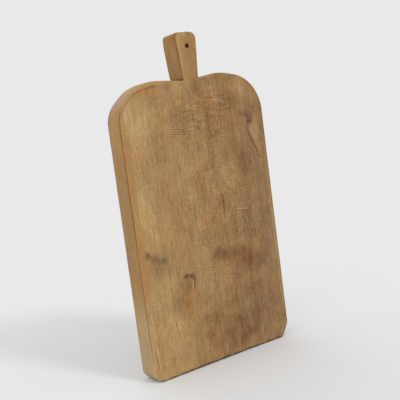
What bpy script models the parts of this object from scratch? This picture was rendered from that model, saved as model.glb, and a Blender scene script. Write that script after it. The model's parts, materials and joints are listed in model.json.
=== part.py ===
"""Chopping board with a paddle handle, sawn out of one thick plank.

Frame, in metres: +Z runs up the board to the end of the handle, +X is to the
right when one faces the cutting face, and the cutting face looks along -Y. The
origin is the middle of the bottom end, so the board stands on Z = 0.
"""

from math import pi, sin, tan

import bmesh
import bpy
from mathutils import Matrix, Vector

# Driving dimensions, in metres.
WIDTH = 0.306
THICKNESS = 0.0445
LENGTH = 0.588

# The handle flares towards its end, so that a hand doesn't slip off it. Each side of
# it: how far it stands from the middle at the root and at the end, and the radius
# that rounds the end corner.
RIGHT_HANDLE = {"root": 0.0150, "end": 0.0211, "radius": 0.0110}
LEFT_HANDLE = {"root": 0.0165, "end": 0.0230, "radius": 0.0074}
HANDLE_ROOT_RADIUS = 0.002

# Each shoulder: the height at which its top line would meet the side, the radius
# that rounds it there, its crown as the (x, z) of a corner and the radius that
# rounds that, and the height at which it dips to the handle. They were sawn by
# eye, so they differ.
RIGHT_SHOULDER = {"side": 0.500, "radius": 0.0705,
                  "crown": (0.0475, 0.5178), "crown_radius": 0.105, "root": 0.5045}
LEFT_SHOULDER = {"side": 0.4617, "radius": 0.0515,
                 "crown": (0.1003, 0.5103), "crown_radius": 0.080, "root": 0.5035}

# The two bottom corners are cut off aslant: how far each cut runs along the
# bottom end and up the side, and how much its two corners are rounded.
RIGHT_CUT = (0.016, 0.025)
LEFT_CUT = (0.009, 0.013)
CUT_RADIUS = 0.006

# The hole through the handle that the board hangs by.
HOLE_DIAMETER = 0.007
HOLE_BELOW_END = 0.0245
HOLE_SIDES = 32

# The edges all round both faces are eased.
EASED_EDGE = 0.003
EASED_EDGE_STEPS = 3

# Length of the facets that stand for a rounded stretch of the outline.
FACET = 0.004
LEAST_ARC_STEPS = 3

WOOD_COLOUR = (0.315, 0.185, 0.082, 1.0)
WOOD_ROUGHNESS = 0.62


def clear_scene():
    for obj in list(bpy.data.objects):
        bpy.data.objects.remove(obj, do_unlink=True)


def wood_material():
    material = bpy.data.materials.new("wood")
    material.use_nodes = True
    shader = material.node_tree.nodes["Principled BSDF"]
    shader.inputs["Base Color"].default_value = WOOD_COLOUR
    shader.inputs["Roughness"].default_value = WOOD_ROUGHNESS
    shader.inputs["Metallic"].default_value = 0.0
    return material


def half_outline(shoulder, bottom_cut, handle):
    """(x, z, radius) of each corner from the bottom end up to the handle's end."""
    side = WIDTH / 2
    along, up = bottom_cut
    return [
        (side - along, 0, CUT_RADIUS),
        (side, up, CUT_RADIUS),
        (side, shoulder["side"], shoulder["radius"]),
        (*shoulder["crown"], shoulder["crown_radius"]),
        (handle["root"], shoulder["root"], HANDLE_ROOT_RADIUS),
        (handle["end"], LENGTH, handle["radius"]),
    ]


def outline_corners():
    """All the corners in order round the board, anticlockwise from the front."""
    right = half_outline(RIGHT_SHOULDER, RIGHT_CUT, RIGHT_HANDLE)
    left = half_outline(LEFT_SHOULDER, LEFT_CUT, LEFT_HANDLE)
    return right + [(-x, z, radius) for x, z, radius in reversed(left)]


def rounded_corner(before, corner, after, radius):
    """Points along the arc of that radius which touches both edges of a corner."""
    to_before = (before - corner).normalized()
    to_after = (after - corner).normalized()
    half_angle = to_before.angle(to_after) / 2
    start = corner + to_before * radius / tan(half_angle)
    end = corner + to_after * radius / tan(half_angle)
    centre = corner + (to_before + to_after).normalized() * radius / sin(half_angle)
    turn = (end - centre).angle_signed(start - centre)
    steps = max(LEAST_ARC_STEPS, round(abs(turn) * radius / FACET))
    return [centre + Matrix.Rotation(turn * i / steps, 2) @ (start - centre)
            for i in range(steps + 1)]


def board_outline():
    corners = outline_corners()
    points = [Vector((x, z)) for x, z, _ in corners]
    outline = []
    for i, (_, _, radius) in enumerate(corners):
        after = points[(i + 1) % len(points)]
        outline += rounded_corner(points[i - 1], points[i], after, radius)
    return outline


def board_mesh():
    """The plank: its outline pushed through its thickness, with eased edges."""
    bm = bmesh.new()
    front = [bm.verts.new((x, -THICKNESS / 2, z)) for x, z in board_outline()]
    face = bm.faces.new(front)
    extruded = bmesh.ops.extrude_face_region(bm, geom=[face])["geom"]
    back = [v for v in extruded if isinstance(v, bmesh.types.BMVert)]
    bmesh.ops.translate(bm, verts=back, vec=(0, THICKNESS, 0))
    bmesh.ops.recalc_face_normals(bm, faces=bm.faces)
    rims = [e for e in bm.edges if e.verts[0].co.y == e.verts[1].co.y]
    bmesh.ops.bevel(bm, geom=rims, offset=EASED_EDGE, segments=EASED_EDGE_STEPS,
                    profile=0.5, affect="EDGES")
    mesh = bpy.data.meshes.new("board")
    bm.to_mesh(mesh)
    bm.free()
    return mesh


def hole_cutter():
    """A rod right through the handle, which the hanging hole is cut with."""
    bm = bmesh.new()
    bmesh.ops.create_cone(
        bm, cap_ends=True, segments=HOLE_SIDES, radius1=HOLE_DIAMETER / 2,
        radius2=HOLE_DIAMETER / 2, depth=2 * THICKNESS,
        matrix=Matrix.Rotation(pi / 2, 4, "X"))
    bmesh.ops.translate(bm, verts=bm.verts, vec=(0, 0, LENGTH - HOLE_BELOW_END))
    mesh = bpy.data.meshes.new("hole_cutter")
    bm.to_mesh(mesh)
    bm.free()
    cutter = bpy.data.objects.new("hole_cutter", mesh)
    cutter.hide_render = True
    cutter.display_type = "WIRE"
    bpy.context.collection.objects.link(cutter)
    return cutter


def make_board():
    mesh = board_mesh()
    mesh.materials.append(wood_material())
    mesh.shade_smooth()
    mesh.set_sharp_from_angle(angle=pi / 5)
    board = bpy.data.objects.new("board", mesh)
    bpy.context.collection.objects.link(board)
    hole = board.modifiers.new("hanging_hole", "BOOLEAN")
    hole.operation = "DIFFERENCE"
    hole.solver = "EXACT"
    hole.object = hole_cutter()


clear_scene()
make_board()
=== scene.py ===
"""An old chopping board sawn from one thick plank, worn and stained by long use.

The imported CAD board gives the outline, the thickness and the hanging hole. The piece
made here stands for it: the same plank with its edges worn round, its cutting face
hollowed and cut by knives, a knot, a crack, and the nicks and stains it has taken.

Frame, in metres: the cutting face looks along -Y, +X is to its right, +Z runs up to
the end of the handle, and the board stands on Z = 0.
"""

import json
from math import cos, pi, radians, sin

import bpy
import numpy as np
from mathutils import Matrix, Vector
from mathutils.geometry import delaunay_2d_cdt


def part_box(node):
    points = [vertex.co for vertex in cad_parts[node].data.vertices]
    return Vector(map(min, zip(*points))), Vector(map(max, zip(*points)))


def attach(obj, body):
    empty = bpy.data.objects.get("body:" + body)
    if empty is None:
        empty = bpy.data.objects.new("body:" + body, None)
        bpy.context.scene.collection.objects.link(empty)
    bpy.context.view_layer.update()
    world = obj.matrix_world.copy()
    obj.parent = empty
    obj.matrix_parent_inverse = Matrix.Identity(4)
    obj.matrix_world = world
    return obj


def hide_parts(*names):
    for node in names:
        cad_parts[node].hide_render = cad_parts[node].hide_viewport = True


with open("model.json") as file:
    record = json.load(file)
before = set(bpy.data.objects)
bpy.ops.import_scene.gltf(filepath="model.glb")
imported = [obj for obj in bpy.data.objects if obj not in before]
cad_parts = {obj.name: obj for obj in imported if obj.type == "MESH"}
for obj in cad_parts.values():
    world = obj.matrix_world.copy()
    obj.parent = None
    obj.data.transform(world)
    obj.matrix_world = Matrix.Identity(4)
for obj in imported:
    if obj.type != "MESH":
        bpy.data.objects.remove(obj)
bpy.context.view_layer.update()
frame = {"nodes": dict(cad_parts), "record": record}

HALF_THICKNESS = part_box("board")[1].y
HOLE = next(m for m in frame["record"]["mounts"] if m["name"] == "hanging_hole")
HOLE_CENTRE = np.array([HOLE["pos_m"][0], HOLE["pos_m"][2]])
HOLE_RADIUS = HOLE["dims"]["r_mm"] / 1000

# Heights that part the body from the handle: for the wear of the edges, for their
# colours, and for the marks on the faces.
WEAR_BODY_TOP = 0.512
EDGE_BODY_TOP = 0.508
FACE_BODY_TOP = 0.505
HANDLE_ROOT = (0.0165, 0.5040)


# ---------------------------------------------------------------- smooth functions

NOISE_VALUES = 4096


class Noise:
    """Smooth noise from -1 to 1 over space, the same on every run."""

    def __init__(self, seed):
        self.table = np.random.default_rng(seed).uniform(-1, 1, NOISE_VALUES)

    def __call__(self, x, y=0.0, z=0.0):
        p = np.stack(np.broadcast_arrays(x, y, z)).astype(float)
        cell = np.floor(p).astype(np.int64)
        f = p - cell
        f = f * f * (3 - 2 * f)
        total = 0.0
        for i in (0, 1):
            for j in (0, 1):
                for k in (0, 1):
                    weight = (np.abs(1 - i - f[0]) * np.abs(1 - j - f[1])
                              * np.abs(1 - k - f[2]))
                    key = ((cell[0] + i) * 73856093 ^ (cell[1] + j) * 19349663
                           ^ (cell[2] + k) * 83492791)
                    total = total + weight * self.table[key % NOISE_VALUES]
        return total

    def fractal(self, x, y=0.0, z=0.0, octaves=3):
        total, size = 0.0, 1.0
        for octave in range(octaves):
            s = 2.0 ** octave
            total = total + size * self(x * s + 11.3 * octave, y * s, z * s)
            size *= 0.5
        return total / 1.75


def hill(value, centre, width):
    """1 at the centre, falling off smoothly on both sides over about the width."""
    return np.exp(-((value - centre) / width) ** 2)


def rise(value, start, end):
    """0 before start, 1 after end and smooth between them."""
    t = np.clip((value - start) / (end - start), 0, 1)
    return t * t * (3 - 2 * t)


def distance_to_line(x, z, line):
    """How far each point is from a line of points, and how far along it, 0 to 1."""
    best = np.full(np.shape(x), np.inf)
    along = np.zeros(np.shape(x))
    line = np.array(line, float)
    steps = np.hypot(*np.diff(line, axis=0).T)
    whole = steps.sum()
    before = 0.0
    for a, b, step in zip(line, line[1:], steps):
        ux, uz = (b - a) / step
        t = np.clip((x - a[0]) * ux + (z - a[1]) * uz, 0, step)
        d = np.hypot(x - a[0] - ux * t, z - a[1] - uz * t)
        nearer = d < best
        best = np.where(nearer, d, best)
        along = np.where(nearer, (before + t) / whole, along)
        before += step
    return best, along


# ---------------------------------------------------------------- the outline

OUTLINE_STEP = 0.0018


def cad_outline():
    """The corners of the CAD board's outline as (x, z), anticlockwise round it."""
    mesh = frame["nodes"]["board"].data
    points = np.array([v.co for v in mesh.vertices])
    level = np.abs(points[:, 1]).min()
    beside = {}
    for edge in mesh.edges:
        ends = points[list(edge.vertices)]
        if np.abs(ends[:, 1] + level).max() < 1e-5:
            first, second = (tuple(end[[0, 2]].round(5).tolist()) for end in ends)
            if first != second:
                beside.setdefault(first, []).append(second)
                beside.setdefault(second, []).append(first)
    corner, loop = min(beside), []
    while corner not in loop:
        loop.append(corner)
        corner = next((c for c in beside[corner] if c not in loop), loop[0])
    assert len(loop) == len(beside), "the CAD outline is not one closed loop"
    loop = np.array(loop)
    x, z = loop.T
    area = (x * np.roll(z, -1) - np.roll(x, -1) * z).sum()
    return loop if area > 0 else loop[::-1]


def even_loop(corners, step):
    """The closed line through the corners as evenly spaced points, with its facets
    smoothed away."""
    closed = np.vstack([corners, corners[:1]])
    run = np.concatenate([[0], np.cumsum(np.hypot(*np.diff(closed, axis=0).T))])
    count = int(run[-1] / step)
    at = np.linspace(0, run[-1], count, endpoint=False)
    loop = np.column_stack([np.interp(at, run, closed[:, k]) for k in (0, 1)])
    for _ in range(2):
        loop = (np.roll(loop, 1, 0) + 2 * loop + np.roll(loop, -1, 0)) / 4
    return loop, at


def inward_normals(loop):
    along = np.roll(loop, -1, 0) - np.roll(loop, 1, 0)
    along /= np.hypot(*along.T)[:, None]
    return np.column_stack([-along[:, 1], along[:, 0]])


# ---------------------------------------------------------------- wear of the edges

edge_noise = Noise(1)
side_noise = Noise(2)

# Nicks along the bottom edge of the cutting face: place across the board, width and
# depth.
BOTTOM_NICKS = [
    (-0.098, 0.004, 0.0010), (-0.041, 0.006, 0.0008), (0.012, 0.004, 0.0012),
    (0.037, 0.003, 0.0016), (0.052, 0.005, 0.0022), (0.066, 0.003, 0.0014),
    (0.081, 0.004, 0.0024), (0.094, 0.003, 0.0018), (0.108, 0.004, 0.0022),
    (0.121, 0.003, 0.0012),
]


def left_shoulder(x, z):
    """1 along the left shoulder, whose edge was cut back aslant, and 0 elsewhere."""
    return rise(-x, 0.036, 0.066) * rise(z, 0.452, 0.478) * (z < WEAR_BODY_TOP)


def front_edge_wear(x, z):
    """How far the edge round the cutting face is worn back from its sharp corner."""
    left, body = rise(-x, 0.120, 0.146), z < WEAR_BODY_TOP
    wear = 0.0012 + 0.0004 * edge_noise.fractal(x / 0.018, 0.0, z / 0.018)
    wear += 0.0019 * left * hill(z, 0.31, 0.15) * body
    wear += 0.0026 * left * (1 - rise(z, 0.004, 0.030))
    crown = rise(-x, 0.040, 0.074) * (1 - rise(-x, 0.088, 0.138)) * (z > 0.47)
    wear += 0.0083 * crown * body
    wear += 0.0014 * hill(x, 0.025, 0.085) * (z < 0.004)
    wear += 0.0032 * ~body * (x < 0) * rise(z, WEAR_BODY_TOP, 0.530)
    wear += 0.0009 * rise(z, 0.570, 0.585)
    for place, width, depth in BOTTOM_NICKS:
        wear += depth * hill(x, place, width) * (z < 0.012)
    return np.maximum(wear, 0.0007)


def back_edge_wear(x, z):
    wear = 0.0012 + 0.0005 * edge_noise.fractal(x / 0.022, 7.0, z / 0.022)
    wear += 0.0020 * rise(z, 0.560, 0.585)
    return np.maximum(wear, 0.0007)


def hand_sawn(run, y):
    """How far the sides dip inside the true outline, from sawing by hand."""
    return 0.00020 + 0.00018 * side_noise.fractal(run / 0.045, y / 0.030, 3.0)


# ---------------------------------------------------------------- marks on the faces

# Groups of knife cuts: (low x, low z, high x, high z), how many, their length, their
# angle from level and its spread in degrees, and their tint, from -1, dark, to 1, pale.
FRONT_CUTS = [
    ((0.034, 0.440, 0.082, 0.476), 13, 0.038, 2, 5, -1.0),
    ((0.030, 0.440, 0.080, 0.474), 9, 0.032, 0, 6, 0.9),
    ((-0.002, 0.428, 0.034, 0.456), 9, 0.022, 3, 5, -0.7),
    ((-0.046, 0.442, 0.006, 0.480), 14, 0.030, 20, 9, -0.8),
    ((-0.010, 0.448, 0.020, 0.470), 5, 0.020, 2, 4, 0.8),
    ((-0.110, 0.455, -0.066, 0.482), 6, 0.022, 28, 12, -0.6),
    ((-0.098, 0.350, -0.050, 0.404), 10, 0.018, 25, 28, -0.5),
    ((0.054, 0.225, 0.104, 0.325), 30, 0.014, 40, 55, 0.7),
    ((0.062, 0.235, 0.100, 0.335), 12, 0.014, 40, 55, -0.5),
    ((-0.010, 0.240, 0.056, 0.405), 26, 0.022, 88, 5, 0.55),
    ((-0.050, 0.250, 0.040, 0.400), 26, 0.018, 88, 5, -0.5),
    ((-0.030, 0.070, 0.020, 0.130), 9, 0.014, 87, 6, 0.35),
    ((-0.030, 0.075, 0.030, 0.125), 10, 0.012, 86, 8, -0.6),
    ((0.010, 0.140, 0.100, 0.185), 26, 0.016, 20, 40, -0.9),
    ((-0.125, 0.050, 0.120, 0.430), 44, 0.022, 3, 22, -0.5),
    ((-0.125, 0.050, 0.125, 0.470), 26, 0.014, -6, 50, 0.3),
]
BACK_CUTS = [
    ((-0.110, 0.080, 0.110, 0.430), 30, 0.034, -6, 20, -0.6),
    ((-0.080, 0.180, 0.090, 0.380), 20, 0.026, 12, 40, 0.6),
]

# Single marks: the line they follow, their width and depth, and their tint.
CRACK = ([(0.1120, 0.4153), (0.1132, 0.4002), (0.1205, 0.3845), (0.1278, 0.3686),
          (0.1325, 0.3560)], 0.0036, 0.0024, -1.0)
EDGE_SPLIT = ([(-0.1462, 0.0640), (-0.1452, 0.0430), (-0.1430, 0.0210)],
              0.0016, 0.0012, -1.0)
SHORT_CRACK = ([(-0.1002, 0.1012), (-0.0968, 0.0840), (-0.0937, 0.0709),
                (-0.0913, 0.0595)], 0.0020, 0.0009, -1.0)
CRACK_LIP = ([(-0.0960, 0.0790), (-0.0940, 0.0690)], 0.0018, 0.0003, 0.6)
DARK_GOUGE = ([(0.0345, 0.2960), (0.0357, 0.2760), (0.0345, 0.2560)],
              0.0026, 0.0006, -0.9)
RED_SCORE = ([(0.0285, 0.2840), (0.0145, 0.2620), (0.0005, 0.2400)],
             0.0015, 0.0004, -0.7)
LEVEL_CUTS = [
    ([(-0.0670, 0.4239), (-0.0440, 0.4214), (-0.0210, 0.4193)], 0.0024, 0.0005, -0.7),
    ([(-0.0675, 0.4196), (-0.0450, 0.4171), (-0.0215, 0.4150)], 0.0024, 0.0004, -0.6),
    ([(-0.0660, 0.4152), (-0.0440, 0.4127), (-0.0205, 0.4105)], 0.0024, 0.0005, -0.7),
]
LONG_SCRATCH = ([(0.0600, 0.2648), (0.0780, 0.2632), (0.0950, 0.2618)],
                0.0024, 0.0005, 0.9)
ITS_SHADOW = ([(0.0620, 0.2618), (0.0780, 0.2604), (0.0930, 0.2592)],
              0.0016, 0.0004, -0.7)

KNOT = (0.1173, 0.4214)


def draw_cuts(groups, seed):
    """Each group's cuts as (line, width, depth, tint)."""
    draw = np.random.default_rng(seed)
    cuts = []
    for (x0, z0, x1, z1), count, length, angle, spread, tint in groups:
        for _ in range(count):
            turn = radians(angle + spread * draw.normal() * 0.6)
            half = length * draw.uniform(0.55, 1.1) / 2
            reach = np.array([cos(turn), sin(turn)]) * half
            middle = np.array([draw.uniform(x0, x1), draw.uniform(z0, z1)])
            bend = np.array([-reach[1], reach[0]]) * draw.normal() * 0.06
            width = draw.uniform(0.0010, 0.0018)
            depth = width * draw.uniform(0.25, 0.38)
            shade = tint * draw.uniform(0.5, 1.2)
            cuts.append(([middle - reach, middle + bend, middle + reach],
                         width, depth, float(np.clip(shade, -1, 1))))
    return cuts


def along_line(line, step):
    line = np.array(line, float)
    run = np.concatenate([[0], np.cumsum(np.hypot(*np.diff(line, axis=0).T))])
    at = np.linspace(0, run[-1], max(3, round(run[-1] / step) + 1))
    return np.column_stack([np.interp(at, run, line[:, k]) for k in (0, 1)])


def groove_profile(x, z, cut):
    """1 at the bottom of a cut, 0 at its edges and beyond."""
    line, width, _, _ = cut
    away, along = distance_to_line(x, z, line)
    taper = np.clip(np.sin(pi * along), 0, 1) ** 0.5
    return taper * np.clip(1 - away / (width / 2 * np.maximum(taper, 0.2)), 0, 1)


def near_line(x, z, line, reach):
    line = np.array(line)
    (x0, z0), (x1, z1) = line.min(0) - reach, line.max(0) + reach
    return (x > x0) & (x < x1) & (z > z0) & (z < z1)


def cut_relief(x, z, cuts):
    """The depth of all the cuts at each point, and their tint."""
    depth, tint = np.zeros(np.shape(x)), np.zeros(np.shape(x))
    for cut in cuts:
        line, width, deepest, shade = cut
        near = near_line(x, z, line, width)
        part = groove_profile(x[near], z[near], cut)
        depth[near] = np.maximum(depth[near], deepest * part)
        stronger = part * abs(shade) > np.abs(tint[near])
        tint[near] = np.where(stronger, part * shade, tint[near])
    return depth, tint


# ---------------------------------------------------------------- the two faces

broad_noise = Noise(3)
grain_noise = Noise(4)


def front_relief(x, z):
    """How far the cutting face lies below its plane, from wear."""
    hollow = 0.0008 * hill(x, 0.01, 0.10) * hill(z, 0.28, 0.17)
    uneven = 0.00022 * (1 + broad_noise.fractal(x / 0.060, 0.0, z / 0.085))
    grain = 0.00007 * (1 + grain_noise.fractal(x / 0.009, 1.0, z / 0.150))
    knot = np.hypot((x - KNOT[0]) / 0.0065, (z - KNOT[1]) / 0.0050)
    dip = 0.0007 * hill(knot, 0.0, 0.8) - 0.0002 * hill(knot, 1.5, 0.45)
    return hollow + uneven + grain + dip + 0.0001


def back_relief(x, z):
    uneven = 0.00025 * (1 + broad_noise.fractal(x / 0.080, 5.0, z / 0.110))
    grain = 0.00006 * (1 + grain_noise.fractal(x / 0.010, 6.0, z / 0.160))
    return uneven + grain


def inside(points, loop):
    """Which points the closed loop goes round."""
    x, z = points.T
    result = np.zeros(len(points), bool)
    for (x0, z0), (x1, z1) in zip(loop, np.roll(loop, -1, 0)):
        if z0 != z1:
            crosses = (z0 > z) != (z1 > z)
            result ^= crosses & (x < (x1 - x0) * (z - z0) / (z1 - z0) + x0)
    return result


def nearest(points, others):
    """Each point's distance to the nearest of the others."""
    found = []
    for part in np.array_split(points, max(1, len(points) // 2000)):
        gaps = part[:, None, :] - others[None, :, :]
        found.append(np.sqrt((gaps ** 2).sum(2).min(1)))
    return np.concatenate(found)


def scatter(loop, spacing, seed, fine_areas=()):
    """Points all over the inside of the loop, closer together in the fine areas."""
    draw = np.random.default_rng(seed)
    low, high = loop.min(0), loop.max(0)

    def grid(low, high, spacing):
        rows = np.arange(low[1], high[1], spacing * 0.866)
        columns = np.arange(low[0], high[0], spacing)
        x, z = np.meshgrid(columns, rows)
        x = x + spacing / 2 * (np.arange(len(rows)) % 2)[:, None]
        points = np.column_stack([x.ravel(), z.ravel()])
        return points + draw.uniform(-0.22, 0.22, points.shape) * spacing

    points = grid(low, high, spacing)
    for x0, z0, x1, z1, fine in fine_areas:
        within = ((points[:, 0] > x0) & (points[:, 0] < x1)
                  & (points[:, 1] > z0) & (points[:, 1] < z1))
        points = np.vstack([points[~within], grid((x0, z0), (x1, z1), fine)])
    points = points[inside(points, loop)]
    return points[nearest(points, loop) > 0.6 * spacing]


def circle(radius, count):
    turn = np.arange(count) * 2 * pi / count
    return HOLE_CENTRE + radius * np.column_stack([np.cos(turn), np.sin(turn)])


def cut_points(cuts, spacing):
    """The points that shape each cut, three abreast, and the edges between them."""
    points, edges = [], []
    for line, width, _, _ in cuts:
        centre = along_line(line, spacing)
        across = np.gradient(centre, axis=0)
        across = np.column_stack([-across[:, 1], across[:, 0]])
        across /= np.hypot(*across.T)[:, None]
        share = np.linspace(0, 1, len(centre))
        half = width / 2 * np.sin(pi * share) ** 0.5
        first = len(points)
        last = len(centre) - 1
        points += list(centre)
        edges += [(first + i, first + i + 1) for i in range(last)]
        for sign in (1, -1):
            row = len(points)
            points += list((centre + sign * across * half[:, None])[1:-1])
            chain = [first, *range(row, row + last - 1), first + last]
            edges += list(zip(chain, chain[1:]))
    return np.array(points), edges


CUT_POINT_SPACING = 0.0035
CUT_TEST_SPACING = 0.003
CUT_EDGE_MARGIN = 0.0016
CUT_CLEARANCE = 0.0011
COLLAR_SCALE = 1.45
COLLAR_CLEARANCE = 0.0035


def fill_face(loop, rim, cuts, spacing, seed, fine_areas=()):
    """Triangles between the loop and the hole's rim, with the cuts' edges among them.
    Returns points, triangles, where the loop's and the rim's points are, and the cuts
    that lie clear of the edge."""

    def fits(cut):
        line = along_line(cut[0], CUT_TEST_SPACING)
        clear = CUT_EDGE_MARGIN + cut[1] / 2
        return inside(line, loop).all() and nearest(line, loop).min() > clear

    cuts = [cut for cut in cuts if fits(cut)]
    grooves, groove_edges = cut_points(cuts, CUT_POINT_SPACING)
    fill = scatter(loop, spacing, seed, fine_areas)
    collar = HOLE_CENTRE + (rim - HOLE_CENTRE) * COLLAR_SCALE
    fill = fill[np.hypot(*(fill - HOLE_CENTRE).T) > HOLE_RADIUS + COLLAR_CLEARANCE]
    fill = fill[nearest(fill, grooves) > CUT_CLEARANCE]
    given = np.vstack([loop, rim, collar, grooves, fill])
    n, m = len(loop), len(rim)
    shift = n + m + len(collar)
    edges = [(n + i, n + (i + 1) % m) for i in range(m)]
    edges += [(a + shift, b + shift) for a, b in groove_edges]
    points, _, triangles, origins, _, _ = delaunay_2d_cdt(
        [Vector(p * 1000) for p in given], edges, [list(range(n))], 1, 1e-4)
    points = np.array(points) / 1000
    found = np.full(len(given), -1)
    for new, old in enumerate(origins):
        found[old] = new
    rim_ids = set(found[n:n + m].tolist())
    triangles = np.array([t for t in triangles if not rim_ids.issuperset(t)])
    a, b, c = (points[triangles[:, k]] for k in range(3))
    area = ((b[:, 0] - a[:, 0]) * (c[:, 1] - a[:, 1])
            - (b[:, 1] - a[:, 1]) * (c[:, 0] - a[:, 0]))
    triangles[area < 0] = triangles[area < 0][:, ::-1]
    return points, triangles, found[:n], found[n:n + m], cuts


# ---------------------------------------------------------------- the board's mesh

FRONT_SPACING = 0.0024
BACK_SPACING = 0.0036
SIDE_ROWS = 14
SIDE_ROWS_POWER = 1.35
ROUNDING = np.radians([15, 30, 45, 60, 75])
ROUNDING_POWER = 1.10
SHOULDER_POWER = 1.60
RIM_SIDES = 40
RIM_WEAR = 0.0010
FINE_AREAS = [
    (0.100, 0.362, 0.136, 0.444, 0.0013),
    (-0.145, 0.180, -0.080, 0.228, 0.0016),
    (-0.074, 0.138, -0.040, 0.176, 0.0013),
    (-0.016, 0.468, 0.020, 0.506, 0.0014),
]


def build_board():
    """All the points and faces of the board, the tint of the cuts at each point, and
    which row it is of those that go over the edge from the cutting face."""
    outline, run = even_loop(cad_outline(), OUTLINE_STEP)
    normal = inward_normals(outline)
    x, z = outline.T
    front_wear, back_wear = front_edge_wear(x, z), back_edge_wear(x, z)

    def loop_at(y, inset):
        return outline + normal * (hand_sawn(run, y) + inset)[:, None]

    front_loop = loop_at(-HALF_THICKNESS, front_wear)
    back_loop = loop_at(HALF_THICKNESS, back_wear)
    rim = circle(HOLE_RADIUS + RIM_WEAR, RIM_SIDES)
    marks = [CRACK, EDGE_SPLIT, SHORT_CRACK, CRACK_LIP, DARK_GOUGE, RED_SCORE,
             LONG_SCRATCH, ITS_SHADOW, *LEVEL_CUTS]
    front, front_faces, f_loop, f_rim, front_cuts = fill_face(
        front_loop, rim, marks + draw_cuts(FRONT_CUTS, 5), FRONT_SPACING, 6, FINE_AREAS)
    back, back_faces, b_loop, b_rim, back_cuts = fill_face(
        back_loop, rim, draw_cuts(BACK_CUTS, 7), BACK_SPACING, 8)

    front_depth, front_tint = cut_relief(*front.T, front_cuts)
    back_depth, back_tint = cut_relief(*back.T, back_cuts)
    front_y = -HALF_THICKNESS + front_relief(*front.T) + front_depth
    back_y = HALF_THICKNESS - back_relief(*back.T) - back_depth
    points = [np.column_stack([front[:, 0], front_y, front[:, 1]]),
              np.column_stack([back[:, 0], back_y, back[:, 1]])]
    faces = [t.tolist() for t in front_faces]
    faces += [(t[::-1] + len(front)).tolist() for t in back_faces]
    tint = [front_tint, back_tint]
    row_of = [np.full(len(front) + len(back), -1.0)]
    row_of[0][f_loop] = 0.0
    count = len(front) + len(back)

    def add_row(row, number=-1.0):
        nonlocal count
        points.append(row)
        tint.append(np.zeros(len(row)))
        row_of.append(np.full(len(row), number))
        count += len(row)
        return np.arange(count - len(row), count)

    def bridge(rows, outward):
        for a, b in zip(rows, rows[1:]):
            for i in range(len(a)):
                j = (i + 1) % len(a)
                quad = [a[i], b[i], b[j], a[j]]
                faces.append([int(q) for q in (quad if outward else quad[::-1])])

    rows = [f_loop]
    start, end = points[0][f_loop, 1], points[1][b_loop, 1]
    power = ROUNDING_POWER + (SHOULDER_POWER - ROUNDING_POWER) * left_shoulder(x, z)
    for angle in ROUNDING:
        inset = front_wear * (1 - sin(angle) ** power)
        y = start + front_wear * (1 - cos(angle) ** power)
        place = loop_at(y, inset)
        rows.append(add_row(np.column_stack([place[:, 0], y, place[:, 1]]), len(rows)))
    for share in np.linspace(0, 1, SIDE_ROWS) ** SIDE_ROWS_POWER:
        y = start + front_wear + share * (end - back_wear - start - front_wear)
        place = loop_at(y, 0)
        rows.append(add_row(np.column_stack([place[:, 0], y, place[:, 1]]), len(rows)))
    for angle in ROUNDING[::-1]:
        inset = back_wear * (1 - sin(angle) ** ROUNDING_POWER)
        y = end - back_wear * (1 - cos(angle) ** ROUNDING_POWER)
        place = loop_at(y, inset)
        rows.append(add_row(np.column_stack([place[:, 0], y, place[:, 1]])))
    bridge(rows + [b_loop + len(front)], True)

    rows = [f_rim]
    start, end = points[0][f_rim, 1], points[1][b_rim, 1]
    for share, extra in ((0.012, 0.30), (0.035, 0.0), (0.35, 0.0), (0.65, 0.0),
                         (0.965, 0.0), (0.988, 0.30)):
        place = circle(HOLE_RADIUS + extra * RIM_WEAR, RIM_SIDES)
        y = start + share * (end - start)
        rows.append(add_row(np.column_stack([place[:, 0], y, place[:, 1]])))
    bridge(rows + [b_rim + len(front)], False)
    return np.vstack(points), faces, np.concatenate(tint), np.concatenate(row_of)


# ---------------------------------------------------------------- stains and tones

stain_noise = Noise(9)

# Lighter and darker areas of the cutting face: centre, half width, half height and
# how much lighter.
TONE_PATCHES = [
    (-0.129, 0.430, 0.028, 0.070, 0.17), (-0.098, 0.446, 0.024, 0.026, 0.09),
    (-0.108, 0.075, 0.022, 0.060, 0.08), (-0.132, 0.286, 0.026, 0.060, 0.16),
    (-0.017, 0.366, 0.036, 0.036, 0.09), (0.058, 0.330, 0.026, 0.046, 0.09),
    (-0.034, 0.486, 0.026, 0.022, 0.14), (-0.034, 0.440, 0.026, 0.026, -0.14),
    (0.030, 0.425, 0.024, 0.042, -0.09), (0.072, 0.462, 0.026, 0.026, -0.12),
    (0.102, 0.486, 0.030, 0.022, 0.18), (0.128, 0.468, 0.020, 0.022, 0.12),
    (0.126, 0.402, 0.013, 0.034, 0.17), (0.096, 0.350, 0.018, 0.046, -0.17),
    (0.033, 0.280, 0.011, 0.028, -0.13), (-0.066, 0.286, 0.024, 0.030, -0.08),
    (0.090, 0.250, 0.022, 0.080, -0.07), (0.045, 0.226, 0.080, 0.034, -0.09),
    (-0.112, 0.196, 0.044, 0.030, -0.19), (0.016, 0.190, 0.026, 0.020, -0.25),
    (0.052, 0.180, 0.044, 0.026, -0.20), (0.096, 0.162, 0.030, 0.024, -0.14),
    (0.060, 0.150, 0.050, 0.020, -0.12),
    (0.134, 0.160, 0.014, 0.110, 0.05), (-0.066, 0.156, 0.026, 0.026, -0.15),
    (-0.090, 0.122, 0.026, 0.028, -0.22), (-0.060, 0.120, 0.026, 0.030, -0.06),
    (0.030, 0.112, 0.036, 0.030, -0.12), (-0.030, 0.072, 0.030, 0.028, -0.13),
    (0.004, 0.082, 0.026, 0.026, -0.14), (0.080, 0.088, 0.075, 0.058, -0.10),
    (0.032, 0.042, 0.072, 0.044, -0.22), (-0.024, 0.066, 0.007, 0.011, 0.12),
    (-0.085, 0.405, 0.020, 0.030, -0.05),
]
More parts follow.
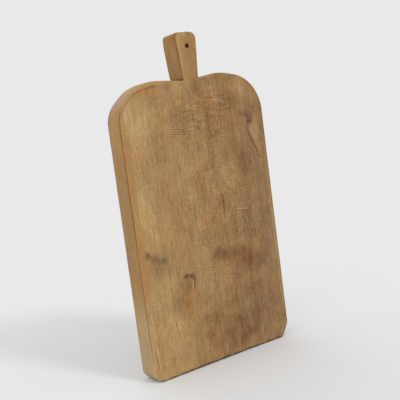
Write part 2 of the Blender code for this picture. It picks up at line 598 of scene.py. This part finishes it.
GREY_PATCHES = [
    (0.080, 0.060, 0.085, 0.090, 0.50), (0.118, 0.385, 0.036, 0.080, 0.60),
    (0.128, 0.230, 0.030, 0.150, 0.75), (0.120, 0.450, 0.030, 0.050, 0.40),
]
RED_PATCHES = [
    (0.012, 0.462, 0.034, 0.028, 0.80), (0.052, 0.178, 0.060, 0.024, 0.55),
    (-0.058, 0.112, 0.030, 0.036, 0.60), (-0.108, 0.070, 0.032, 0.070, 0.35),
    (0.010, 0.275, 0.030, 0.050, 0.55), (-0.070, 0.300, 0.026, 0.080, 0.35),
    (-0.094, 0.490, 0.036, 0.014, 0.90),
]


def stroke(x, z, line, width, ragged=0.3):
    """1 on the line, fading to 0 a width away from it, with an uneven edge."""
    away, _ = distance_to_line(x, z, line)
    away = away * (1 + ragged * stain_noise.fractal(x / 0.005, 0.0, z / 0.014))
    return 1 - rise(away, 0.0, width)


def blob(x, z, centre, size, ragged=0.22):
    away = np.hypot((x - centre[0]) / size[0], (z - centre[1]) / size[1])
    away = away + ragged * stain_noise.fractal(x / 0.016, 4.0, z / 0.024)
    return 1 - rise(away, 0.15, 1.15)


def patches(x, z, listed):
    total = np.zeros(np.shape(x))
    for centre_x, centre_z, half_width, half_height, amount in listed:
        total += amount * blob(x, z, (centre_x, centre_z), (half_width, half_height))
    return total


# The stain of an iron tool: spots in a row, each centre with its half width and half
# height, and the fainter streak that joins them.
IRON_SPOTS = [
    ((-0.1372, 0.2180), (0.0098, 0.0120), 0.95),
    ((-0.1310, 0.2130), (0.0105, 0.0085), 0.70),
    ((-0.1225, 0.2080), (0.0120, 0.0080), 0.66),
    ((-0.1060, 0.2030), (0.0125, 0.0075), 0.72),
]
IRON_STREAK = [(-0.1400, 0.2190), (-0.1300, 0.2115), (-0.1160, 0.2060),
               (-0.1040, 0.2020)]

# A small hook-shaped stain: its line, the spots on it, and the light beside it.
HOOK = [(-0.0690, 0.1672), (-0.0620, 0.1694), (-0.0570, 0.1668), (-0.0520, 0.1656),
        (-0.0490, 0.1620), (-0.0494, 0.1540), (-0.0500, 0.1440)]
HOOK_SPOTS = [((-0.0645, 0.1675), (0.0088, 0.0090)),
              ((-0.0560, 0.1658), (0.0098, 0.0070)),
              ((-0.0500, 0.1610), (0.0052, 0.0085))]
HOOK_LIGHT = [(-0.0520, 0.1570), (-0.0538, 0.1440)]


def surface_marks(points):
    """What the material reads at each point of the faces: name -> value."""
    x, y, z = points.T
    front = rise(-y, 0.012, 0.0195)
    iron = 0.60 * stroke(x, z, IRON_STREAK, 0.0125, 0.3)
    for centre, size, amount in IRON_SPOTS:
        iron = np.maximum(iron, amount * blob(x, z, centre, size, 0.3))
    hook = 0.85 * stroke(x, z, HOOK, 0.0042, 0.4)
    for centre, size in HOOK_SPOTS:
        hook = np.maximum(hook, 0.95 * blob(x, z, centre, size, 0.5))
    knot_away = np.hypot((x - KNOT[0]) / 0.0088, (z - KNOT[1]) / 0.0060)
    knot = hill(knot_away, 0.0, 0.75)
    knot = np.maximum(knot, 0.50 * stroke(x, z, [(0.100, 0.4380), (0.120, 0.4300)], 0.010))
    knot = np.maximum(knot, 0.62 * stroke(x, z, CRACK[0], 0.0036))
    knot = np.maximum(knot, 0.24 * blob(x, z, (0.109, 0.4100), (0.010, 0.024)))
    brown = 0.5 * stroke(x, z, [(0.010, 0.014), (0.050, 0.026), (0.086, 0.050)], 0.016)
    brown = np.maximum(brown, 0.5 * blob(x, z, (0.012, 0.192), (0.014, 0.012), 0.8))
    foot = blob(x, z, (0.001, 0.490), (0.020, 0.022), 0.2)
    brown = np.maximum(brown, 0.55 * foot * (z - 0.470 > 1.1 * np.abs(x)))
    root_line = [(-0.0175, 0.498), (-0.004, 0.470)]
    brown = np.maximum(brown, 0.45 * stroke(x, z, root_line, 0.006))
    brown = np.maximum(brown, 0.85 * stroke(x, z, DARK_GOUGE[0], 0.0055, 0.6))
    brown = np.maximum(brown, 0.45 * stroke(x, z, RED_SCORE[0], 0.0040, 0.4))
    pale = 0.65 * stroke(x, z, HOOK_LIGHT, 0.0022, 0.2)
    beside_crack = [(0.1195, 0.4070), (0.1262, 0.3890)]
    beside_split = [(-0.1432, 0.0640), (-0.1405, 0.0240)]
    pale = np.maximum(pale, 0.44 * stroke(x, z, beside_crack, 0.0075))
    # A painted highlight: the pale line beside the split at the bottom-left edge.
    pale = np.maximum(pale, 0.6 * stroke(x, z, beside_split, 0.0028))
    body = z < FACE_BODY_TOP
    chopped = 0.35 + 0.65 * blob(x, z, (0.020, 0.300), (0.110, 0.220), 0.5)
    level_cuts = blob(x, z, (0.010, 0.445), (0.085, 0.045), 0.4)
    upper_side = 0.13 * (1 - front) * (x < -0.130) * rise(z, 0.34, 0.42) * body
    tone = (-0.9 * x + patches(x, z, TONE_PATCHES) * front) * (0.45 + 0.55 * front)
    return {
        "tone": tone + upper_side,
        "grey": patches(x, z, GREY_PATCHES) * front,
        "red": patches(x, z, RED_PATCHES) * front + 0.25 * ~body,
        "brown": brown * front,
        "iron": iron * front,
        "hook": hook * front,
        "knot": knot * front,
        "pale": pale * front,
        "chopped": np.where(y < 0, chopped, 0.4) * body * rise(np.abs(y), 0.012, 0.018),
        "level_cuts": level_cuts * front * body,
    }


def edge_marks(points, normals, row):
    """How worn, warm, grey and dirty each point near an edge or on a side is, where shade
    and a highlight are painted on, and how far it shows end grain."""
    x, y, z = points.T
    nx, ny, nz = normals.T
    corner = 1 - rise(np.abs(ny), 0.90, 0.995)
    corner = corner * rise(np.abs(y), HALF_THICKNESS - 0.0062, HALF_THICKNESS - 0.0028)
    front = y < 0
    left = front & (nx < 0)
    patch = 0.5 + 0.5 * stain_noise.fractal(x / 0.03, 8.0, z / 0.03)
    handle = z > EDGE_BODY_TOP
    shoulder = left_shoulder(x, z)
    rounding = (row > -0.5) & (row < len(ROUNDING) - 0.5)

    worn = corner * np.clip(0.20 + 0.40 * patch, 0, 1)
    # The pale on the handle's left edge is a painted highlight on its chamfer, besides
    # wear.
    worn = np.where(left & handle & (nz < 0.4), rounding * (0.45 + 0.3 * patch), worn)
    worn = np.where(left & (z < 0.09), corner * 0.8, worn)
    rim = (1 - rise(np.abs(x - 0.1475), 0.0010, 0.0050)) * rise(z, 0.03, 0.08)
    worn = np.maximum(worn, 0.50 * rim * (1 - rise(z, 0.34, 0.44)) * (ny < -0.7))
    body_edge = left & ~handle
    warm = corner * body_edge * rise(z, 0.09, 0.16) * np.clip(0.6 + patch, 0, 1)
    wobble = 0.0020 * stain_noise.fractal(z / 0.03, 2.0, 5.0)
    stripe = 1 - rise(np.abs(x + 0.1455 + wobble), 0.003, 0.0088)
    height = rise(z, 0.12, 0.17) * (1 - rise(z, 0.40, 0.46))
    warm = np.maximum(warm, stripe * front * height * (ny < -0.7))
    orange = blob(x, z, (-0.095, 0.486), (0.022, 0.009), 0.5) * (ny < -0.8)
    warm = np.maximum(warm, 0.8 * orange)
    slope = rise(-ny, 0.45, 0.65) * (1 - rise(-ny, 0.93, 0.99)) * front
    warm = np.maximum(warm * (1 - 0.6 * shoulder), 0.55 * shoulder * slope)

    side = (1 - rise(np.abs(ny), 0.35, 0.60)) * (nx < 0) * ~handle
    low, high = 1 - rise(z, 0.10, 0.20), rise(z, 0.450, 0.480)
    near_front = rise(-y, 0.006, 0.018) * (0.5 + 0.5 * patch)
    warm = np.maximum(warm, side * (0.55 + 0.25 * near_front) * rise(z, 0.08, 0.16))
    warm = np.maximum(warm, 0.35 * handle)
    # The sides are painted paler grey low down, toward the back and, as painted light, high
    # up where the shoulder's side faces up.
    grey = side * np.clip(0.85 * low + 0.9 * high * rise(y, -0.012, 0.002)
                          + 0.10 * rise(y, 0.004, 0.020), 0, 1)

    # Painted shade with some soiling in the inner corners where the handle's root meets the
    # shoulders.
    root = np.hypot(np.abs(x) - HANDLE_ROOT[0], z - HANDLE_ROOT[1])
    foot = (1 - rise(root, 0.0020, 0.0075)) * (np.abs(ny) < 0.7) * np.where(x < 0, 1, 0.4)
    dirt_and_shadow = 0.35 * foot
    # Painted shade on the wall of the hanging hole.
    hole = np.hypot(x - HOLE_CENTRE[0], z - HOLE_CENTRE[1])
    in_hole = 1 - rise(hole, HOLE_RADIUS + 0.0002, HOLE_RADIUS + 0.0020)
    dirt_and_shadow = np.maximum(dirt_and_shadow, 0.60 * in_hole)
    # Painted shadow along the bottom of the board, as under a bottom edge lifted off the
    # floor, over the dirty worn edge.
    shadow_band = 0.0056 + 0.0030 * stain_noise.fractal(x / 0.010, 0.0, 0.0) - 0.018 * np.abs(x)
    dirt_and_shadow = np.maximum(dirt_and_shadow, 0.95 * (1 - rise(z, 0.35 * shadow_band, 1.25 * shadow_band)))

    back_line = rise(y, HALF_THICKNESS - 0.0040, HALF_THICKNESS - 0.0012)
    front_line = rise(-y, HALF_THICKNESS - 0.0034, HALF_THICKNESS - 0.0014)
    rough = np.clip(0.75 + 0.5 * patch, 0, 1)
    grime_and_shade = 0.55 * rough * back_line * rise(-nx, 0.10, 0.50) * (ny < 0.97)
    # Painted shade on the rounding of the right side's front edge.
    grime_and_shade = np.maximum(grime_and_shade, 0.55 * rough * front_line * rise(nx, 0.15, 0.60))
    # A dark line runs where the left side meets the worn edge, and on up along the
    # inner border of the shoulder's slope.
    line_row = np.clip(1.3 - np.abs(row - len(ROUNDING) - 0.5) / 2.6, 0, 1)
    on_left = (nx < -0.3) & (row > 0) & ~np.isclose(z, 0)
    seam = (0.70 + 0.45 * patch) * line_row * on_left * rise(z, 0.02, 0.06) * (1 - shoulder)
    inner_row = (row >= 0) * np.clip(1 - row / 2.5, 0, 1)
    inner_part = rise(-x, 0.060, 0.085) * rise(z, 0.440, 0.460) * ~handle
    grime_and_shade = np.maximum(grime_and_shade, 0.85 * inner_row * inner_part)
    # Painted shade in the corner at the handle's root.
    grime_and_shade = np.maximum(grime_and_shade, 0.95 * foot)
    top = rise(nz, 0.2, 0.7) * handle * front_line
    grime_and_shade = np.maximum(grime_and_shade, 0.60 * top)
    return {"worn": worn * (1 - dirt_and_shadow) * (1 - shoulder), "warm": warm, "dirt_and_shadow": dirt_and_shadow,
            "grime_and_shade": grime_and_shade, "seam": seam, "side_grey_and_light": grey,
            "end_grain": rise(np.abs(nz), 0.35, 0.95)}


def make_board_piece():
    points, faces, tint, row = build_board()
    mesh = bpy.data.meshes.new("chopping_board")
    mesh.from_pydata(points.tolist(), [], faces)
    mesh.update()
    mesh.shade_smooth()
    normals = np.zeros(len(points) * 3)
    mesh.vertices.foreach_get("normal", normals)
    values = surface_marks(points)
    values.update(edge_marks(points, normals.reshape(-1, 3), row))
    values["cut"] = tint
    for name, value in values.items():
        layer = mesh.attributes.new(name, "FLOAT", "POINT")
        layer.data.foreach_set("value", value.astype(np.float32))
    piece = bpy.data.objects.new("chopping_board", mesh)
    bpy.context.scene.collection.objects.link(piece)
    return piece


# ---------------------------------------------------------------- materials

class Nodes:
    """Short ways to build a material out of shader nodes."""

    def __init__(self, name):
        self.material = bpy.data.materials.new(name)
        self.material.use_nodes = True
        self.tree = self.material.node_tree
        self.shader = self.tree.nodes["Principled BSDF"]

    def add(self, kind, inputs, **settings):
        node = self.tree.nodes.new("ShaderNode" + kind)
        for key, value in settings.items():
            setattr(node, key, value)
        for key, value in inputs.items():
            self.put(node.inputs[key], value)
        return node

    def put(self, socket, value):
        if isinstance(value, bpy.types.NodeSocket):
            self.tree.links.new(value, socket)
        else:
            socket.default_value = value

    def math(self, operation, a, b=0.0, clamp=False):
        node = self.add("Math", {0: a, 1: b}, operation=operation, use_clamp=clamp)
        return node.outputs[0]

    def product(self, a, b):
        return self.math("MULTIPLY", a, b)

    def sum(self, *terms):
        total = terms[0]
        for term in terms[1:]:
            total = self.math("ADD", total, term)
        return total

    def vector(self, operation, a, b):
        return self.add("VectorMath", {0: a, 1: b}, operation=operation).outputs[0]

    def centred(self, value, size):
        """A 0 to 1 value, moved and scaled to run from -size to size."""
        node = self.add("MapRange", {0: value, 1: 0.0, 2: 1.0, 3: -size, 4: size},
                        clamp=False)
        return node.outputs[0]

    def step(self, value, low, high, to_low=0.0, to_high=1.0):
        node = self.add("MapRange", {0: value, 1: low, 2: high, 3: to_low, 4: to_high},
                        interpolation_type="SMOOTHSTEP")
        return node.outputs[0]

    def mix(self, factor, a, b, blend="MIX"):
        node = self.add("Mix", {0: factor, 6: a, 7: b}, data_type="RGBA",
                        blend_type=blend)
        return node.outputs[2]

    def place(self):
        """The board's own coordinates, in metres."""
        return self.add("TexCoord", {}).outputs["Object"]

    def noise(self, size, detail=2.0, roughness=0.5, turn=0.0, seed=0.0, bent=None):
        """Noise whose features have the given size in metres, turned about Y by an
        angle in degrees."""
        place = self.place() if bent is None else bent
        mapped = self.add("Mapping", {0: place, 1: (seed, seed, 0.0),
                                      2: (0.0, radians(turn), 0.0), 3: size},
                          vector_type="TEXTURE").outputs[0]
        node = self.add("TexNoise", {"Vector": mapped, "Scale": 1.0, "Detail": detail,
                                     "Roughness": roughness})
        return node.outputs[0]

    def ramp(self, value, stops):
        node = self.add("ValToRGB", {0: value})
        elements = node.color_ramp.elements
        while len(elements) < len(stops):
            elements.new(0.5)
        for element, (place, colour) in zip(elements, stops):
            element.position = place
            element.color = (*colour, 1)
        return node.outputs[0]

    def attribute(self, name):
        return self.add("Attribute", {}, attribute_name=name).outputs["Fac"]


# The growth rings run round the tree's pith, which lies behind the plank: its place
# across and through the plank.
RING_SPACING = 0.0058
PITH = (0.035, 0.150)

DARK_WOOD = (0.105, 0.049, 0.020)
BROWN_WOOD = (0.205, 0.110, 0.044)
MID_WOOD = (0.330, 0.194, 0.080)
LIGHT_WOOD = (0.455, 0.297, 0.124)
PALE_WOOD = (0.620, 0.460, 0.245)
GREY_TINT = (0.96, 1.0, 1.20, 1)
RED_TINT = (1.08, 0.90, 0.82, 1)
OLIVE_TINT = (0.96, 1.02, 0.86, 1)
BROWN_TINT = (0.66, 0.56, 0.50, 1)
IRON = (0.092, 0.074, 0.036, 1)
HOOK_BROWN = (0.085, 0.045, 0.022, 1)
KNOT_DARK = (0.058, 0.031, 0.013, 1)
CUT_DARK = (0.135, 0.052, 0.018, 1)
CUT_PALE = (0.600, 0.450, 0.260, 1)
WARM_EDGE = (0.375, 0.178, 0.046, 1)
WORN_EDGE_AND_HIGHLIGHT = (0.540, 0.360, 0.165, 1)
GRIME_AND_SHADE = (0.150, 0.064, 0.018, 1)
SEAM = (0.250, 0.096, 0.016, 1)
DIRT_AND_SHADOW = (0.048, 0.030, 0.017, 1)
END_GRAIN = (0.520, 0.390, 0.220, 1)
SIDE_GREY_AND_LIGHT = (0.500, 0.370, 0.205, 1)


def growth_rings(n):
    """The plank's growth rings: a value from 0 to 1 that falls off slowly through
    each year and jumps back at the next."""
    warp = n.add("TexNoise", {"Vector": n.vector("MULTIPLY", n.place(), (7, 7, 2.1)),
                              "Scale": 1.0, "Detail": 3.0}).outputs["Color"]
    moved = n.vector("MULTIPLY", n.vector("SUBTRACT", warp, (0.5, 0.5, 0.5)),
                     (0.060, 0.050, 0.0))
    part = n.add("SeparateXYZ", {0: n.vector("ADD", n.place(), moved)})
    lean = n.product(part.outputs[2], 0.07)
    across = n.math("SUBTRACT", n.sum(part.outputs[0], lean), PITH[0])
    through = n.math("SUBTRACT", part.outputs[1], PITH[1])
    from_pith = n.math("SQRT", n.sum(n.product(across, across),
                                     n.product(through, through)))
    ring = n.math("FRACT", n.math("DIVIDE", from_pith, RING_SPACING))
    return n.ramp(ring, [(0.0, (0.75,) * 3), (0.10, (0.62,) * 3), (0.80, (0.35,) * 3),
                         (0.95, (0.12,) * 3), (1.0, (0.75,) * 3)])


def wood_material():
    """Solid wood: its rings, fibres and pores run through the plank, and the marks
    of use lie over them."""
    n = Nodes("worn_wood")
    end_grain = n.attribute("end_grain")
    chopped = n.attribute("chopped")

    ring_strength = n.step(n.noise((0.06, 0.06, 0.20)), 0.35, 0.65, 0.3, 1.0)
    ring_strength = n.sum(ring_strength, end_grain)
    rings = n.product(n.centred(growth_rings(n), 0.075), ring_strength)
    bands = n.centred(n.noise((0.022, 0.022, 0.300), detail=3.0), 0.18)
    streaks = n.centred(n.noise((0.0052, 0.0052, 0.070), detail=3.0, roughness=0.6), 0.14)
    fibres = n.centred(n.noise((0.0024, 0.0024, 0.018), detail=2.0), 0.19)
    grit = n.centred(n.noise((0.0030, 0.0030, 0.0027), detail=2.0, roughness=0.6), 0.34)
    mottle = n.centred(n.noise((0.020, 0.020, 0.026), detail=4.0, roughness=0.62), 0.20)

    wander = n.add("TexNoise", {"Vector": n.place(), "Scale": 18.0}).outputs["Color"]
    wander = n.vector("MULTIPLY", n.vector("SUBTRACT", wander, (0.5, 0.5, 0.5)),
                      (0.013, 0.013, 0.013))
    bent = n.vector("ADD", n.place(), wander)

    def scratches(length, width, turn, seed, rare):
        """Fine knife marks, 0 to 1, at an angle in degrees from level."""
        lines = n.noise((length, 0.010, width), 1.0, 0.5, turn, seed, bent)
        return n.step(lines, rare, rare + 0.08)

    level = n.math("SUBTRACT", scratches(0.016, 0.0021, 4, 0.31, 0.58),
                   scratches(0.018, 0.0021, -3, 0.77, 0.58))
    slanted = n.math("SUBTRACT", scratches(0.009, 0.0018, 38, 0.13, 0.60),
                     scratches(0.009, 0.0018, -50, 0.53, 0.60))
    upright = n.math("SUBTRACT", scratches(0.015, 0.0020, 87, 0.91, 0.60),
                     scratches(0.015, 0.0020, 92, 0.47, 0.60))
    knife = n.sum(n.product(level, n.sum(0.10, n.attribute("level_cuts"))),
                  n.product(slanted, 0.55), n.product(upright, 0.5))
    knife = n.product(n.product(knife, chopped), 0.23)

    tone = n.sum(0.505, n.attribute("tone"), rings, bands, streaks, fibres, mottle,
                 n.product(grit, n.sum(0.35, n.product(chopped, 0.65))), knife)
    colour = n.ramp(tone, [(0.0, DARK_WOOD), (0.25, BROWN_WOOD), (0.50, MID_WOOD),
                           (0.75, LIGHT_WOOD), (1.0, PALE_WOOD)])

    reddish = n.step(n.noise((0.032, 0.032, 0.100), detail=3.0, seed=0.3), 0.44, 0.66)
    reddish = n.math("ADD", n.product(reddish, 0.6), n.attribute("red"), clamp=True)
    colour = n.mix(reddish, colour, RED_TINT, "MULTIPLY")
    olive = n.step(n.noise((0.026, 0.026, 0.080), detail=3.0, seed=0.7), 0.50, 0.70)
    colour = n.mix(n.product(olive, 0.7), colour, OLIVE_TINT, "MULTIPLY")

    pores = n.noise((0.0011, 0.0011, 0.014), detail=1.0)
    colour = n.mix(n.step(pores, 0.36, 0.30, 0.0, 0.3), colour, (*DARK_WOOD, 1))

    ragged = n.centred(n.noise((0.0030, 0.0030, 0.014), detail=3.0), 1.0)

    def stain(colour, name, target, strength, blend="MIX", uneven=1.2):
        """Mixes in a colour where the named mark is, broken up along the grain."""
        value = n.attribute(name)
        value = n.sum(value, n.product(n.product(ragged, value), uneven))
        return n.mix(n.step(value, 0.0, 1.0, 0.0, strength), colour, target, blend)

    colour = n.mix(n.product(end_grain, 0.40), colour, END_GRAIN)
    # Paler grey on the sides, painted light where the shoulder's side faces up.
    colour = stain(colour, "side_grey_and_light", SIDE_GREY_AND_LIGHT, 0.50)
    colour = stain(colour, "grey", GREY_TINT, 0.90, "MULTIPLY")
    colour = stain(colour, "brown", BROWN_TINT, 0.80, "MULTIPLY")
    colour = stain(colour, "pale", CUT_PALE, 0.65)
    colour = stain(colour, "iron", IRON, 0.72)
    colour = stain(colour, "hook", HOOK_BROWN, 0.85)
    colour = stain(colour, "knot", KNOT_DARK, 0.90)
    colour = stain(colour, "warm", WARM_EDGE, 0.62)
    # Pale worn edges, and a painted highlight on the handle's left chamfer.
    colour = stain(colour, "worn", WORN_EDGE_AND_HIGHLIGHT, 0.55)
    # Grimy edges, and painted shade at the handle's root and on the right side's front
    # edge.
    colour = stain(colour, "grime_and_shade", GRIME_AND_SHADE, 0.80, uneven=0.8)
    colour = stain(colour, "seam", SEAM, 0.85, uneven=0.8)
    # Dark soiling, and painted shade in the hanging hole, at the handle's root and along
    # the bottom of the board.
    colour = stain(colour, "dirt_and_shadow", DIRT_AND_SHADOW, 0.90)
    cut = n.attribute("cut")
    colour = n.mix(n.step(cut, 0.0, 0.9, 0.0, 0.75), colour, CUT_PALE)
    colour = n.mix(n.step(cut, 0.0, -0.9, 0.0, 0.85), colour, CUT_DARK)
    n.put(n.shader.inputs["Base Color"], colour)

    dull = n.centred(n.noise((0.016, 0.016, 0.050), detail=3.0), 0.16)
    n.put(n.shader.inputs["Roughness"], n.math("ADD", dull, 0.66, clamp=True))
    n.shader.inputs["Specular IOR Level"].default_value = 0.28

    height = n.sum(n.product(pores, 0.35), n.product(streaks, 0.8),
                   n.product(fibres, 1.2), n.product(grit, 0.8), n.product(knife, 1.6))
    bump = n.add("Bump", {"Strength": 0.6, "Distance": 0.0007, "Height": height})
    n.put(n.shader.inputs["Normal"], bump.outputs[0])
    return n.material


# ---------------------------------------------------------------- stage and camera

BACKDROP = 0.815
AMBIENT = 0.70
FLOOR_RADIUS = 1.5
FLOOR_SIDES = 96


def make_floor():
    """A pale floor that fades out into the backdrop some way from the board."""
    mesh = bpy.data.meshes.new("floor")
    ring = [(FLOOR_RADIUS * cos(a), FLOOR_RADIUS * sin(a), 0.0)
            for a in np.arange(FLOOR_SIDES) * 2 * pi / FLOOR_SIDES]
    mesh.from_pydata(ring, [], [list(range(FLOOR_SIDES))])
    floor = bpy.data.objects.new("floor", mesh)
    bpy.context.scene.collection.objects.link(floor)
    n = Nodes("pale_floor")
    n.shader.inputs["Base Color"].default_value = (0.790, 0.800, 0.812, 1)
    n.shader.inputs["Roughness"].default_value = 0.9
    n.shader.inputs["Specular IOR Level"].default_value = 0.1
    away = n.add("VectorMath", {0: n.place()}, operation="LENGTH").outputs["Value"]
    clear = n.add("BsdfTransparent", {})
    fade = n.step(away, 0.35, 0.80 * FLOOR_RADIUS)
    both = n.add("MixShader", {0: fade, 1: n.shader.outputs[0], 2: clear.outputs[0]})
    out = n.tree.nodes["Material Output"]
    n.put(out.inputs["Surface"], both.outputs[0])
    mesh.materials.append(n.material)


def make_world():
    """Even light from all round, behind which the camera sees a pale backdrop."""
    world = bpy.data.worlds.new("studio")
    world.use_nodes = True
    bpy.context.scene.world = world
    nodes, links = world.node_tree.nodes, world.node_tree.links
    seen = nodes["Background"]
    seen.inputs["Color"].default_value = (BACKDROP, BACKDROP, BACKDROP, 1)
    light = nodes.new("ShaderNodeBackground")
    light.inputs["Color"].default_value = (1.0, 0.995, 0.985, 1)
    light.inputs["Strength"].default_value = AMBIENT
    path = nodes.new("ShaderNodeLightPath")
    both = nodes.new("ShaderNodeMixShader")
    links.new(path.outputs["Is Camera Ray"], both.inputs[0])
    links.new(light.outputs[0], both.inputs[1])
    links.new(seen.outputs[0], both.inputs[2])
    links.new(both.outputs[0], nodes["World Output"].inputs["Surface"])


def add_sun(name, towards, strength, softness):
    """A soft light that comes from the given direction."""
    lamp = bpy.data.lights.new(name, "SUN")
    lamp.energy = strength
    lamp.angle = radians(softness)
    obj = bpy.data.objects.new(name, lamp)
    bpy.context.scene.collection.objects.link(obj)
    obj.rotation_euler = Vector(towards).to_track_quat("Z", "Y").to_euler()


def make_lights():
    add_sun("key", (0.25, -0.86, 0.62), 0.85, 12)
    add_sun("left_fill", (-0.90, -0.30, 0.55), 0.65, 75)
    add_sun("back_fill", (0.25, 0.90, 0.60), 0.40, 60)


CAMERA_PLACE = Vector((-0.6698, -0.9396 - HALF_THICKNESS, 0.4031))
CAMERA_AIM = Vector((0.5685, 0.8172, -0.0949))
CAMERA_ROLL = radians(-7.51)
CAMERA_LENS = 58.65
SENSOR_WIDTH = 36.0


def make_camera():
    data = bpy.data.cameras.new("camera")
    data.lens = CAMERA_LENS
    data.sensor_width = SENSOR_WIDTH
    camera = bpy.data.objects.new("camera", data)
    bpy.context.scene.collection.objects.link(camera)
    aim = CAMERA_AIM.normalized()
    level = aim.cross(Vector((0, 0, 1))).normalized()
    above = level.cross(aim)
    right = level * cos(CAMERA_ROLL) + above * sin(CAMERA_ROLL)
    up = above * cos(CAMERA_ROLL) - level * sin(CAMERA_ROLL)
    turn = Matrix((right, up, -aim)).transposed()
    camera.matrix_world = Matrix.Translation(CAMERA_PLACE) @ turn.to_4x4()
    bpy.context.scene.camera = camera


bpy.context.scene.view_settings.view_transform = "Standard"
bpy.context.scene.view_settings.look = "None"
make_world()
make_floor()
make_lights()
make_camera()

board = make_board_piece()
board.data.materials.append(wood_material())
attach(board, "root")
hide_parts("board")
